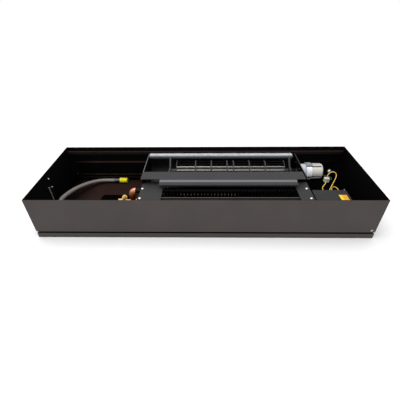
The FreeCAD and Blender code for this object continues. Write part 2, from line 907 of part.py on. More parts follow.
def end_plate(hand):
    """Channel-shaped end plate of the exchanger: foot, upright with two tube holes, top flange."""
    upright = right_plate_x if hand > 0 else left_plate_x
    edge = case_right if hand > 0 else case_left + cover_inset_left + sheet
    foot = floor + sheet / 2
    top = plate_top - sheet / 2
    face = upright + hand * sheet / 2
    path = [(edge, foot), (face, foot), (face, top), (edge, top)]
    plate = folded_sheet("Y", fin_front - plate_front_margin, fin_rear, path)
    holes = tube_holes(upright - 2 * sheet, upright + 2 * sheet, tube_radius + tube_clearance)
    plate = plate.cut(group(holes))
    for seat, direction in cover_screw_seats():
        plate = plate.cut(screw_hole(seat, direction, screw_shank_length + sheet))
    for seat, direction, depth in floor_rivet_seats():
        plate = plate.cut(rivet_hole(seat, direction, depth))
    return plate


def exchanger_front_plate():
    """Folded sheet in front of the fins that keeps the warm air under the window; its lip shows."""
    face = fin_front - front_plate_gap - sheet / 2
    top = plate_top - front_plate_drop - sheet / 2
    path = [(face - front_plate_lip, top), (face, top), (face, fin_top - fin_height)]
    return folded_sheet("X", left_plate_x, right_plate_x, path)


def cover_screw_seats():
    """Two screws at each end of the frame cover."""
    seats = []
    for x in (case_left + cover_screw_side, case_right - cover_screw_side):
        for y in (cover_rear_y - cover_screw_rear, cover_rear_y - cover_screw_rear - cover_screw_spacing):
            seats.append((V(x, y, cover_top), AXIS["Z"] * -1))
    return seats


def frame_cover():
    """Painted frame over the exchanger: skirts front and rear, a long window, one clipped corner."""
    top = cover_top - sheet / 2
    x0 = case_left + cover_inset_left
    x1 = case_right + cover_right
    path = [(cover_front_y + sheet / 2, cover_top - cover_front_skirt), (cover_front_y + sheet / 2, top),
            (cover_rear_y - sheet / 2, top), (cover_rear_y - sheet / 2, cover_top - cover_rear_skirt)]
    cover = folded_sheet("X", x0, x1, path)
    front = cover_front_y + window_front
    cover = cover.cut(block(x0 + window_inset_left, x1 - window_inset_right, front, front + window_depth,
                            cover_top - 2 * sheet, cover_top + sheet))
    corner = [V(x0, cover_rear_y, 0), V(x0 + cover_notch, cover_rear_y, 0),
              V(x0, cover_rear_y - cover_notch, 0)]
    clip = Part.Face(Part.makePolygon(corner + [corner[0]])).extrude(AXIS["Z"] * (cover_top + sheet))
    cover = cover.cut(clip)
    for seat, direction in cover_screw_seats():
        cover = cover.cut(screw_hole(seat, direction, 2 * sheet))
    return cover


def air_vent():
    """Upright brass boss saddled on the elbow's outlet, bored for the bleed screw."""
    boss = bar(V(vent_x, rear_tube_y, elbow_z), AXIS["Z"], vent_height, vent_radius)
    boss = boss.cut(along_x(connection_x, elbow_x, rear_tube_y, elbow_z, elbow_neck_radius))
    mouth = V(vent_x, rear_tube_y, elbow_z + vent_height)
    depth = vent_screw_depth + vent_lift
    return boss.cut(bar(mouth, AXIS["Z"] * -1, depth, vent_screw_radius + running_fit))


def bleed_screw():
    """Slotted screw that opens the air vent."""
    seat = V(vent_x, rear_tube_y, elbow_z + vent_height + vent_lift)
    shank = bar(seat, AXIS["Z"] * -1, vent_screw_depth, vent_screw_radius)
    head = bar(seat, AXIS["Z"], vent_head_height, vent_head_radius)
    top = seat.z + vent_head_height
    slot = block(vent_x - vent_head_radius, vent_x + vent_head_radius, rear_tube_y - vent_slot_width / 2,
                 rear_tube_y + vent_slot_width / 2, top - vent_slot_depth, top)
    return shank.fuse(head).removeSplitter().cut(slot)


def supply_elbow():
    """Cast brass elbow under the copper bend, ending in a six-sided female connection."""
    y = rear_tube_y
    hex_right = connection_x + hex_length
    centre = V(elbow_x, y, elbow_z)
    base = centre - V(0, 0, elbow_radius)
    body = bar(base, AXIS["Z"], 2 * elbow_radius, elbow_radius)
    body = body.fuse([along_x(hex_right, elbow_x, y, elbow_z, elbow_neck_radius),
                      hexagon(connection_x, hex_right, y, elbow_z, hex_flats)]).removeSplitter()
    bore_end = connection_x + connection_bore_depth
    body = body.cut(along_x(connection_x, bore_end, y, elbow_z, connection_bore_radius))
    way = tube_radius - tube_wall
    body = body.cut(along_x(connection_x, elbow_x, y, elbow_z, way))
    body = body.cut(bar(centre, AXIS["Z"], bend_size, way - elbow_step))
    return body.cut(bar(centre + V(0, 0, elbow_seat), AXIS["Z"], bend_size, bend_outer_radius))


def return_union():
    """Brass union brazed over the end of the front tube."""
    profile = [(-union_grip, tube_radius), (-union_grip, union_radius), (union_length, union_radius),
               (union_length, tube_radius - tube_wall), (0, tube_radius - tube_wall), (0, tube_radius)]
    return turned(V(tube_left, front_tube_y, front_tube_level), AXIS["X"] * -1, profile)


def hose_start_x():
    """Where the hose leaves its first ferrule."""
    return tube_left - union_length - hose_nut_length - ferrule_length


def hose_nut():
    """Six-sided nut that draws the hose onto the union."""
    right = tube_left - union_length
    left = right - hose_nut_length
    nut = hexagon(left, right, front_tube_y, front_tube_level, hose_nut_flats)
    return nut.cut(along_x(left, right, front_tube_y, front_tube_level, tube_radius - tube_wall))


def ferrule(start, hand):
    """Crimped steel ferrule on one end of the hose."""
    left = ferrule_band + ferrule_slope
    right = ferrule_length - left
    profile = [(0, 0), (0, ferrule_radius), (ferrule_band, ferrule_radius), (left, ferrule_waist_radius),
               (right, ferrule_waist_radius), (right + ferrule_slope, ferrule_radius),
               (ferrule_length, ferrule_radius), (ferrule_length, 0)]
    return turned(start, AXIS["X"] * hand, profile)


def near_ferrule():
    """Ferrule next to the nut."""
    return ferrule(V(tube_left - union_length - hose_nut_length, front_tube_y, front_tube_level), -1)


def far_ferrule():
    """Ferrule at the loose end of the hose."""
    return ferrule(V(*hose_route()[-1]), 1)


def hose_route():
    """The way of the hose: left from the union, round along the end wall, back along the rear wall."""
    return [(hose_start_x(), front_tube_y, front_tube_level), (-312, front_tube_y, front_tube_level),
            (-364, -84, 61), (-412, -88, 58), (-451, -72, 52), (-474, -34, 45), (-471, 10, 38),
            (-456, 57, 31), (-429, 101, 23), (-394, 131, 15.5), (-362, 137, 12), (-341, 137, 12)]


def wire_left_route():
    """From the front of the plug to the first gland."""
    return [(414, 48, 66), (414, 38, 66), (404, 28, 63), (395, 17, 58.5), (397, 5, 54), (397, -4, 54)]


def wire_loop_route():
    """From the top of the plug, over a standing loop, to the second gland."""
    return [(419, 56, 75), (419, 56, 84), (428, 61, 93), (441, 61, 96), (449, 54, 88), (443, 43, 77),
            (433, 30, 68.5), (423, 17, 61), (415, 5, 54), (415, -4, 54)]


def wire_right_route():
    """A short link between the third and the fourth gland."""
    return [(426, -4, 54), (426, 6, 54), (426, 17, 56.5), (432, 24, 58.5), (441, 24, 58.5), (447, 17, 56.5),
            (447, 6, 54), (447, -4, 54)]


def motor_lead_route():
    """From the motor's end cap round to the side of the plug."""
    end = motor_rear_start() + motor_shell_length + motor_cap_length
    return [(end, 84, 67), (419, 84, 67), (432, 81, 66.5), (440.5, 71, 66), (440, 61, 66.5), (435.5, 55, 67),
            (427, 55, 67)]


def cord(route, radius, label):
    """A round cord along straight runs joined by even bends, with its length and bends printed."""
    points = [V(*p) for p in route]
    runs = [b - a for a, b in zip(points, points[1:])]
    edges = []
    bends = []
    last = points[0]
    for i in range(1, len(points) - 1):
        before, after = unit(runs[i - 1]), unit(runs[i])
        turn = before.getAngle(after)
        reach = bend_share * min(runs[i - 1].Length, runs[i].Length)
        bend = reach / math.tan(turn / 2)
        start = points[i] - before * reach
        end = points[i] + after * reach
        inward = unit(after - before)
        centre = points[i] + inward * (bend / math.cos(turn / 2))
        edges.append(line(last, start))
        edges.append(arc(start, centre - inward * bend, end))
        bends.append(bend)
        last = end
    edges.append(line(last, points[-1]))
    path = Part.Wire(edges)
    solid = path.makePipe(Part.Face(Part.Wire(Part.makeCircle(radius, points[0], runs[0]))))
    expected = math.pi * radius ** 2 * path.Length
    print(label, "length", round(path.Length, 1), "tightest bend", round(min(bends), 1),
          "volume over expected", round(solid.Volume / expected, 4))
    return solid


def hose_nipple():
    """Threaded nipple at the loose end of the hose."""
    end = V(*hose_route()[-1]) + V(ferrule_length, 0, 0)
    nipple = bar(end, AXIS["X"], nipple_length, nipple_radius)
    return nipple.cut(bar(end, AXIS["X"], nipple_length, tube_radius - tube_wall))


def protective_cap():
    """Moulded cap pushed over the nipple, with a rolled rim at its mouth."""
    start = V(*hose_route()[-1]) + V(ferrule_length, 0, 0)
    inner = nipple_radius + cap_fit
    outer = inner + cap_wall
    profile = [(0, inner), (0, cap_radius), (cap_rim, cap_radius), (cap_rim + cap_rim_slope, outer),
               (cap_length - cap_wall, outer), (cap_length, outer - cap_wall), (cap_length, 0),
               (cap_length - cap_wall, 0), (cap_length - cap_wall, inner)]
    return turned(start, AXIS["X"], profile)


def control_box_base():
    """Folded steel box that stands on the floor, open at the top."""
    inset = sheet + lid_fit
    high = box_top - sheet
    outer = block(box_left + inset, box_right - inset, box_front + inset, box_rear - inset, floor, high)
    deep = inset + sheet
    inner = block(box_left + deep, box_right - deep, box_front + deep, box_rear - deep,
                  floor + sheet, height)
    box = outer.cut(inner)
    for x in gland_places():
        inside = V(x, box_rear - deep - sheet, gland_level)
        box = box.cut(bar(inside, AXIS["Y"], 4 * sheet, gland_neck_radius))
    for seat, direction in lid_screw_seats():
        box = box.cut(screw_hole(seat, direction, screw_shank_length + sheet))
    return box


def control_box_lid():
    """Slip-over lid with a short skirt all round."""
    outer = block(box_left, box_right, box_front, box_rear, box_top - lid_skirt, box_top)
    outer = outer.makeFillet(bend_radius, edges_along(outer, "Z"))
    inner = block(box_left + sheet, box_right - sheet, box_front + sheet, box_rear - sheet,
                  box_top - 2 * lid_skirt, box_top - sheet)
    lid = outer.cut(inner)
    for seat, direction in lid_screw_seats():
        lid = lid.cut(screw_hole(seat, direction, 2 * sheet))
    return lid


def lid_screw_seats():
    """Two screws through the front skirt of the lid."""
    places = (box_left + lid_screw_inset, box_right - lid_screw_inset)
    return [(V(x, box_front, box_top - lid_screw_drop), AXIS["Y"]) for x in places]


def screws():
    """All the pan-head screws: walls, motor flange, frame cover and control box lid."""
    seats = wall_screw_seats() + motor_screw_seats() + cover_screw_seats() + lid_screw_seats()
    return group([screw(seat, direction) for seat, direction in seats])


def gland_places():
    """Where the glands sit along the back of the control box."""
    return [box_left + offset for offset in gland_offsets]


def wire_glands():
    """Moulded glands snapped into the back of the control box, one for each wire end."""
    glands = []
    outside = box_rear - sheet - lid_fit
    tip = gland_tip - outside
    profile = [(-2 * sheet, 0), (-2 * sheet, gland_radius), (-sheet, gland_radius),
               (-sheet, gland_neck_radius), (0, gland_neck_radius), (0, gland_radius),
               (tip / 2, gland_radius), (tip, gland_neck_radius), (tip, 0)]
    for x in gland_places():
        glands.append(turned(V(x, outside, gland_level), AXIS["Y"], profile))
    return group(glands)


def wire_plug():
    """Moulded plug and socket pair in the wires to the motor, with a latch on its rear face."""
    half = V(*plug_size) * 0.5
    low = V(*plug_middle) - half
    high = V(*plug_middle) + half
    z = plug_middle[2]
    step = plug_step
    shell = block(low.x, high.x, low.y, high.y, low.z, high.z)
    waist = block(low.x, high.x, low.y, high.y, z - step / 2, z + step / 2)
    core = block(low.x + step, high.x - step, low.y + step, high.y - step, z - step, z + step)
    latch = block(plug_middle[0] - step, plug_middle[0] + step, high.y, high.y + step,
                  z - latch_below, z + latch_above)
    return shell.cut(waist.cut(core)).fuse(latch).removeSplitter()


def pieces():
    """Every piece of the convector under its own name."""
    return {
        "bottom_pan": bottom_pan(),
        "pipe_opening_blank": pipe_opening_blank(),
        "front_wall": front_wall(),
        "rear_wall": rear_wall(),
        "left_end_wall": end_wall(-1),
        "right_end_wall": end_wall(1),
        "corner_angles": corner_angles(),
        "front_grille_rail": grille_rail(-1),
        "rear_grille_rail": grille_rail(1),
        "screws": screws(),
        "rivets": rivets(),
        "end_bracket": end_bracket(),
        "cable_grommet": cable_grommet(),
        "left_side_plate": case_plate(-1),
        "right_side_plate": case_plate(1),
        "rear_air_guide": rear_air_guide(),
        "front_air_cover": front_air_cover(),
        "left_bearing_spider": spider(left_bush_middle()),
        "right_bearing_spider": spider(right_bush_middle()),
        "bearing_bushes": bearing_bushes(),
        "impeller_blades": impeller_blades(),
        "impeller_rings": impeller_rings(),
        "left_end_disc": end_disc(-1),
        "right_end_disc": end_disc(1),
        "impeller_shafts": impeller_shafts(),
        "shaft_coupling": shaft_coupling(),
        "motor_shaft": motor_shaft(),
        "motor_flange": motor_flange(),
        "motor_bell": motor_bell(),
        "motor_can": motor_can(),
        "motor_rear_shell": motor_rear_shell(),
        "motor_end_cap": motor_end_cap(),
        "fin_pack": fin_pack(),
        "exchanger_tubes": exchanger_tubes(),
        "return_bend": return_bend(),
        "left_end_plate": end_plate(-1),
        "right_end_plate": end_plate(1),
        "exchanger_front_plate": exchanger_front_plate(),
        "frame_cover": frame_cover(),
        "air_vent": air_vent(),
        "bleed_screw": bleed_screw(),
        "supply_bend": supply_bend(),
        "supply_elbow": supply_elbow(),
        "return_union": return_union(),
        "hose_nut": hose_nut(),
        "near_ferrule": near_ferrule(),
        "hose": cord(hose_route(), hose_radius, "hose"),
        "far_ferrule": far_ferrule(),
        "hose_nipple": hose_nipple(),
        "protective_cap": protective_cap(),
        "control_box_base": control_box_base(),
        "control_box_lid": control_box_lid(),
        "wire_glands": wire_glands(),
        "wire_plug": wire_plug(),
        "wire_left": cord(wire_left_route(), wire_radius, "left wire"),
        "wire_loop": cord(wire_loop_route(), wire_radius, "loop wire"),
        "wire_right": cord(wire_right_route(), wire_radius, "right wire"),
        "motor_lead": cord(motor_lead_route(), lead_radius, "motor lead"),
    }


os.makedirs("parts", exist_ok=True)
for name, shape in pieces().items():
    shape.exportStep("parts/" + name + ".step")
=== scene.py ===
"""Open trench convector with a tangential fan, in a plain studio. Metres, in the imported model's frame."""
import math
from collections import namedtuple
import bpy
import numpy as np
from mathutils import Matrix, Vector


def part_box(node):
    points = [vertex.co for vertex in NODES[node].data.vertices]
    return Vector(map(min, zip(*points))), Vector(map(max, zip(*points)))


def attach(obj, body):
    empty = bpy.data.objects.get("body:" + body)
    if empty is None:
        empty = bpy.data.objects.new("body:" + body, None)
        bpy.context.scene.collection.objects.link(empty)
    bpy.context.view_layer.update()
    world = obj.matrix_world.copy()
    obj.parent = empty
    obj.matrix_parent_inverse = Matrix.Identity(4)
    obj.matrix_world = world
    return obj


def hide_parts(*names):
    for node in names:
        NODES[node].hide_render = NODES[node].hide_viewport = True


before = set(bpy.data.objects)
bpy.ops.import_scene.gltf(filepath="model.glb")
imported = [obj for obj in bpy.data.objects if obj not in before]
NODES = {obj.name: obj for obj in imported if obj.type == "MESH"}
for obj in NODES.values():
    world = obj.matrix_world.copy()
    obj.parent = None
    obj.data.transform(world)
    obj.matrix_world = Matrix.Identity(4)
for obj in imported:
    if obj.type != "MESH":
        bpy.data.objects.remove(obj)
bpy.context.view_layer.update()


# Trough walls: four panels of folded steel sheet held by corner angles, with a grille rail along
# each long wall and a small bracket on the left end. Powder coated satin dark grey outside and near black
# inside, a black that also stands for the shade inside the trough. The rear wall's rib carries brown dust
# with a painted highlight, the rear grille rail is painted paler than the front one where light falls on it,
# and the bracket's edge carries a painted highlight.
MM = 0.001
Finish = namedtuple("Finish", "material tree place shader colour")
COAT_CLOUD = 90.0 * MM
ORANGE_PEEL = 1.1 * MM
PEEL_HEIGHT = 0.03 * MM
TROUGH_REACH = {"X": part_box("front_wall")[1].x, "Y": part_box("rear_wall")[1].y}
OUTER_SKIN = 0.6 * MM
DUST_CLOUD = 45.0 * MM
DUST_STARTS = (-490.0 * MM, -400.0 * MM)
DUST_ENDS = 300.0 * MM
RIB_LEVELS = (77.0, 84.0)
BRACKET_EDGE = {"X": (-1.0, 6.0), "Y": (-1.0, 1.6)}


def linear(code):
    """sRGB hex to linear RGBA: c / 12.92 up to 0.04045, and ((c + 0.055) / 1.055) ** 2.4 above it."""
    channels = np.array([int(code[k:k + 2], 16) for k in (1, 3, 5)]) / 255.0
    low = channels / 12.92
    high = ((channels + 0.055) / 1.055) ** 2.4
    return tuple(np.where(channels <= 0.04045, low, high)) + (1.0,)


def add(tree, kind, inputs, output=0, **settings):
    """Adds one node with its settings and links, and returns the output asked for. Each input is a socket
    to link, a hex colour or a plain value."""
    made = tree.nodes.new("ShaderNode" + kind)
    for name, value in settings.items():
        setattr(made, name, value)
    for name, value in inputs.items():
        if isinstance(value, bpy.types.NodeSocket):
            tree.links.new(value, made.inputs[name])
        else:
            made.inputs[name].default_value = linear(value) if isinstance(value, str) else value
    return made.outputs[output] if made.outputs else None


def open_material(name):
    """A new material without nodes; returns it, its tree and the place on the piece."""
    material = bpy.data.materials.new(name)
    material.use_nodes = True
    material.node_tree.nodes.clear()
    place = add(material.node_tree, "TexCoord", {}, "Object")
    return material, material.node_tree, place


def close_material(material, tree, place, inputs):
    """Gives the material its shader and output, and returns all that a later coat of colour needs."""
    shade = add(tree, "BsdfPrincipled", inputs)
    add(tree, "OutputMaterial", {"Surface": shade})
    return Finish(material, tree, place, shade.node, inputs["Base Color"])


def recolour(finish, colour):
    """Gives a finish another colour."""
    finish.tree.links.new(colour, finish.shader.inputs["Base Color"])
    return finish


def dress(finish, *names):
    """Puts a finish on CAD nodes."""
    for name in names:
        mesh = NODES[name].data
        mesh.materials.clear()
        mesh.materials.append(finish.material)


def powder_coat(name, dark, pale, roughness, gloss=0.15):
    """Powder coat, sprayed and oven cured: a slow cloud of two shades under fine orange peel that softens
    every reflection. Roughness is a range that follows the peel."""
    material, tree, place = open_material(name)
    cloud = add(tree, "TexNoise", {"Vector": place, "Scale": 1.0 / COAT_CLOUD, "Detail": 3.0})
    peel = add(tree, "TexNoise", {"Vector": place, "Scale": 1.0 / ORANGE_PEEL})
    colour = add(tree, "Mix", {0: cloud, 6: dark, 7: pale}, 2, data_type="RGBA")
    rough = add(tree, "MapRange", {"Value": peel, "To Min": roughness[0], "To Max": roughness[1]})
    bump = add(tree, "Bump", {"Height": peel, "Strength": 0.35, "Distance": PEEL_HEIGHT})
    return close_material(material, tree, place, {
        "Base Color": colour, "Roughness": rough, "Normal": bump, "IOR": 1.5, "Specular IOR Level": gloss})


def trough_coat(name, dust_and_highlight_levels, groove=0.0):
    """Near black, which also stands for the shade inside the trough, with bands of brown dust and of painted
    highlight on levels of (low mm, high mm, colour) that begin gently at the left and stay out of a groove of
    that depth along the long sides, and dark grey where |x| or |y| lies within a thin skin of the trough's
    outer faces."""
    coat = powder_coat(name, "#433f3e", "#4c4745", (0.57, 0.73), gloss=0.06)
    tree = coat.tree
    parts = add(tree, "SeparateXYZ", {"Vector": coat.place}).node.outputs
    cloud = add(tree, "TexNoise", {
        "Vector": coat.place, "Scale": 1.0 / DUST_CLOUD, "Detail": 4.0})
    colour = add(tree, "Mix", {0: cloud, 6: "#040303", 7: "#070505"}, 2, data_type="RGBA")
    begun = add(tree, "MapRange", {
        "Value": parts["X"], "From Min": DUST_STARTS[0], "From Max": DUST_STARTS[1]})
    ended = add(tree, "Math", {0: parts["X"], 1: DUST_ENDS}, operation="GREATER_THAN")
    run = add(tree, "Math", {0: begun, 1: ended}, operation="SUBTRACT", use_clamp=True)
    depth = add(tree, "Math", {0: parts["Y"]}, operation="ABSOLUTE")
    beyond = add(tree, "Math", {0: depth, 1: TROUGH_REACH["Y"] - groove}, operation="GREATER_THAN")
    run = add(tree, "Math", {0: run, 1: beyond}, operation="SUBTRACT", use_clamp=True)
    for low, high, shade in dust_and_highlight_levels:
        level = add(tree, "Math", {0: parts["Z"], 1: 0.5 * (low + high) * MM, 2: 0.5 * (high - low) * MM},
                    operation="COMPARE")
        dusty = add(tree, "Math", {0: level, 1: run}, operation="MULTIPLY")
        dust = add(tree, "Mix", {0: cloud, 6: "#241715", 7: shade}, 2, data_type="RGBA")
        colour = add(tree, "Mix", {0: dusty, 6: colour, 7: dust}, 2, data_type="RGBA")
    for axis, reach in TROUGH_REACH.items():
        away = add(tree, "Math", {0: parts[axis]}, operation="ABSOLUTE")
        outside = add(tree, "Math", {0: away, 1: reach - OUTER_SKIN}, operation="GREATER_THAN")
        colour = add(tree, "Mix", {0: outside, 6: colour, 7: coat.colour}, 2, data_type="RGBA")
    return recolour(coat, colour)


def coat_with_painted_highlight(name, node, edge, distances):
    """Matt black coat with a painted highlight, paler where each axis lies between two distances in mm from
    the node's low corner.
    """
    coat = powder_coat(name, "#070606", "#0c0b0b", (0.42, 0.58), gloss=0.08)
    tree = coat.tree
    parts = add(tree, "SeparateXYZ", {"Vector": coat.place}).node.outputs
    colour = edge
    for axis, (low, high) in distances.items():
        middle = getattr(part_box(node)[0], axis.lower()) + 0.5 * (low + high) * MM
        lit_band = add(tree, "Math", {0: parts[axis], 1: middle, 2: 0.5 * (high - low) * MM},
                     operation="COMPARE")
        colour = add(tree, "Mix", {0: lit_band, 6: coat.colour, 7: colour}, 2, data_type="RGBA")
    dress(recolour(coat, colour), node)


# Inside, the walls' near black also stands for the shade inside the trough.
dress(trough_coat("powder_coated_wall_steel", []), "front_wall", "left_end_wall", "right_end_wall")
# The band on the rear wall's rib is brown dust with a painted highlight where the rib catches the light.
dress(trough_coat("powder_coated_ribbed_steel", [(*RIB_LEVELS, "#3a2823")]), "rear_wall")
matt_black = powder_coat("matt_black_powder_coat", "#080606", "#0d0a0a", (0.47, 0.63))
dress(matt_black, "corner_angles", "front_grille_rail")
# The rear grille rail is painted paler brown than the front one: painted light where the rail catches it.
dress(powder_coat("black_powder_coat_painted_light", "#1f1716", "#2a1f1d", (0.47, 0.63)), "rear_grille_rail")
# The pale band along the bracket's edge is a painted highlight.
coat_with_painted_highlight("bracket_coat_painted_highlight", "end_bracket", "#a8978d", BRACKET_EDGE)


# Bottom pan: a folded steel tray in the same coat, whose upturned flange carries the walls.
# Fine brown dust lies on its floor; the pale lines along the foot and the top of the flange are painted
# highlight where these edges catch the light. The groove outside is left clean of both.
PAN_DUST_AND_HIGHLIGHT = [(0.5, 2.0, "#34241f"), (15.3, 17.2, "#7a5e55"), (28.8, 31.0, "#7a5e55")]
PAN_GROOVE = 5.75 * MM      # the 5 mm groove and half the sheet behind it
dress(trough_coat("powder_coated_pan_steel", PAN_DUST_AND_HIGHLIGHT, PAN_GROOVE), "bottom_pan")


# Rubber blank: a moulded plate that closes the pipe opening in the pan's floor.
# Soft matt rubber, painted so black that it stands for the shade of a hole in the dusty floor.
RUBBER_GRAIN = 1.5 * MM


def moulded_rubber(name, dark, pale, ior):
    """Moulded rubber: near black and dull, with a half-millimetre grain drawn at 1.5 mm so that it shows.
    A lower IOR than rubber's usual 1.5 takes the sheen off."""
    material, tree, place = open_material(name)
    grain = add(tree, "TexNoise", {"Vector": place, "Scale": 1.0 / RUBBER_GRAIN, "Detail": 3.0})
    colour = add(tree, "Mix", {0: grain, 6: dark, 7: pale}, 2, data_type="RGBA")
    rough = add(tree, "MapRange", {"Value": grain, "To Min": 0.6, "To Max": 0.85})
    bump = add(tree, "Bump", {"Height": grain, "Strength": 0.3, "Distance": 0.05 * MM})
    return close_material(material, tree, place, {
        "Base Color": colour, "Roughness": rough, "Normal": bump, "IOR": ior})


dress(moulded_rubber("blank_rubber_painted_shade", "#010101", "#040303", 1.08), "pipe_opening_blank")


# Fan case: two folded side plates with a curved air guide behind the impeller and a cover strip in front,
# riveted to the pan. Plates and strip are powder coated; the guide is galvanised sheet, bare on its flange
# with a painted highlight along its crown, while the grey below the crown and the black scroll inside are
# painted shade.
ZINC_CRYSTAL = 7.0 * MM
ZINC_GRIME = 2.5 * MM
GUIDE_FLANGE = 2.2 * MM
GUIDE_LIP = 9.5 * MM
CROWN_FROM_REAR = 9.8 * MM
CROWN_HALF = 14.7 * MM
LIP_SHELF = 15.0 * MM
LIP_SLOPE = 7.0 * MM
PLATE_EDGE = {"Z": (116.0, 118.0)}


def galvanised(name, dark, pale):
    """Hot-dip zinc: grey crystals of 7 mm, each with its own shade and gloss, under a little grime."""
    material, tree, place = open_material(name)
    cell = add(tree, "TexVoronoi", {"Vector": place, "Scale": 1.0 / ZINC_CRYSTAL}, "Color")
    shade = add(tree, "SeparateColor", {"Color": cell})
    grime = add(tree, "TexNoise", {"Vector": place, "Scale": 1.0 / ZINC_GRIME, "Detail": 3.0})
    cover = add(tree, "MapRange", {"Value": grime, "To Min": -0.2, "To Max": 0.5})
    crystal = add(tree, "Mix", {0: shade, 6: dark, 7: pale}, 2, data_type="RGBA")
    colour = add(tree, "Mix", {0: cover, 6: crystal, 7: dark}, 2, data_type="RGBA")
    rough = add(tree, "MapRange", {"Value": shade, "To Min": 0.42, "To Max": 0.58})
    return close_material(material, tree, place, {"Base Color": colour, "Roughness": rough, "Metallic": 1.0})


def guide_zinc():
    """Zinc flange with a painted highlight along its crown by 1 - (distance from the crown / half width) **
    2, over a grey lip and a black scroll that are both painted shade."""
    zinc = galvanised("galvanised_guide_sheet", "#54585c", "#676b70")
    tree = zinc.tree
    parts = add(tree, "SeparateXYZ", {"Vector": zinc.place}).node.outputs
    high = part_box("rear_air_guide")[1]
    away = add(tree, "Math", {0: parts["Y"], 1: high.y - CROWN_FROM_REAR}, operation="SUBTRACT")
    share = add(tree, "Math", {0: away, 1: CROWN_HALF}, operation="DIVIDE")
    fall = add(tree, "Math", {0: share, 1: share}, operation="MULTIPLY")
    crown = add(tree, "Mix", {0: fall, 6: "#f6f9fc", 7: zinc.colour}, 2, data_type="RGBA")
    lip = add(tree, "Math", {0: parts["Z"], 1: high.z - GUIDE_LIP}, operation="GREATER_THAN")
    painted_shade = add(tree, "Mix", {0: lip, 6: "#050505", 7: "#4b4d50"}, 2, data_type="RGBA")
    flange = add(tree, "Math", {0: parts["Z"], 1: high.z - GUIDE_FLANGE}, operation="GREATER_THAN")
    bare = add(tree, "MapRange", {"Value": flange, "To Max": 0.7})
    tree.links.new(bare, zinc.shader.inputs["Metallic"])
    return recolour(zinc, add(tree, "Mix", {0: flange, 6: painted_shade, 7: crown}, 2, data_type="RGBA"))


def strip_coat():
    """Grey coat with a painted highlight along the sloping fold of the strip's lip."""
    coat = powder_coat("grey_strip_powder_coat", "#343335", "#3c3b3d", (0.47, 0.63))
    depth = add(coat.tree, "SeparateXYZ", {"Vector": coat.place}, "Y")
    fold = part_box("front_air_cover")[0].y + LIP_SHELF + 0.5 * LIP_SLOPE
    worn = add(coat.tree, "Math", {0: depth, 1: fold, 2: 0.5 * LIP_SLOPE}, operation="COMPARE")
    colour = add(coat.tree, "Mix", {0: worn, 6: coat.colour, 7: "#707072"}, 2, data_type="RGBA")
    return recolour(coat, colour)


# The side plates' pale top edges are painted highlight.
coat_with_painted_highlight("left_plate_coat", "left_side_plate", "#7c7c7e", PLATE_EDGE)
coat_with_painted_highlight("right_plate_coat", "right_side_plate", "#4a4a4c", PLATE_EDGE)
dress(guide_zinc(), "rear_air_guide")
dress(strip_coat(), "front_air_cover")


# Impeller: twenty curved aluminium blades locked into dark plastic rings and end discs, on ground steel
# shafts that run in rubber bushes. The bushes sit in two moulded spiders, and a rubber coupling joins
# the right-hand shaft to the motor's.
BRUSHED_ALONG_X = (0.04, 1.0, 1.0)
TARNISH = 14.0 * MM
FLOW_MARKS = 25.0 * MM
MOULD_GRAIN = 0.8 * MM      # the real grain of about 0.2 mm is too fine to show
RING_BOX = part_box("impeller_rings")
FAN_AXIS = (0.0, 0.5 * (RING_BOX[0].y + RING_BOX[1].y), 0.5 * (RING_BOX[0].z + RING_BOX[1].z))
BLADE_SHADE_ANGLES = np.radians([20.0, 116.0])


def worked_metal(name, dark, pale, roughness, grain_mm, stretch=(1.0, 1.0, 1.0), metallic=1.0):
    """Bare or plated metal: slow tarnish under a grain, coarser than the real one so that it shows, that is
    drawn out for brushing along an axis whose stretch is under 1. Metallic is below 1 where dust or oxide
    dulls the mirror."""
    material, tree, place = open_material(name)
    drawn = add(tree, "Mapping", {"Vector": place, "Scale": stretch})
    grain = add(tree, "TexNoise", {
        "Vector": drawn, "Scale": 1.0 / (grain_mm * MM), "Detail": 3.0})
    tarnish = add(tree, "TexNoise", {"Vector": place, "Scale": 1.0 / TARNISH})
    worn = add(tree, "Mix", {0: tarnish, 6: dark, 7: pale}, 2, data_type="RGBA")
    colour = add(tree, "Mix", {0: grain, 6: worn, 7: pale}, 2, data_type="RGBA")
    rough = add(tree, "MapRange", {"Value": grain, "To Min": roughness[0], "To Max": roughness[1]})
    bump = add(tree, "Bump", {"Height": grain, "Strength": 0.15, "Distance": 0.02 * MM})
    return close_material(material, tree, place, {
        "Base Color": colour, "Roughness": rough, "Normal": bump, "Metallic": metallic})


def moulded_plastic(name, dark, pale, roughness):
    """Injection-moulded plastic: an even colour with faint flow marks and a fine eroded grain."""
    material, tree, place = open_material(name)
    flow = add(tree, "TexNoise", {"Vector": place, "Scale": 1.0 / FLOW_MARKS})
    grain = add(tree, "TexNoise", {"Vector": place, "Scale": 1.0 / MOULD_GRAIN})
    colour = add(tree, "Mix", {0: flow, 6: dark, 7: pale}, 2, data_type="RGBA")
    rough = add(tree, "MapRange", {"Value": grain, "To Min": roughness[0], "To Max": roughness[1]})
    bump = add(tree, "Bump", {"Height": grain, "Strength": 0.2, "Distance": 0.02 * MM})
    return close_material(material, tree, place, {
        "Base Color": colour, "Roughness": rough, "Normal": bump, "IOR": 1.49})


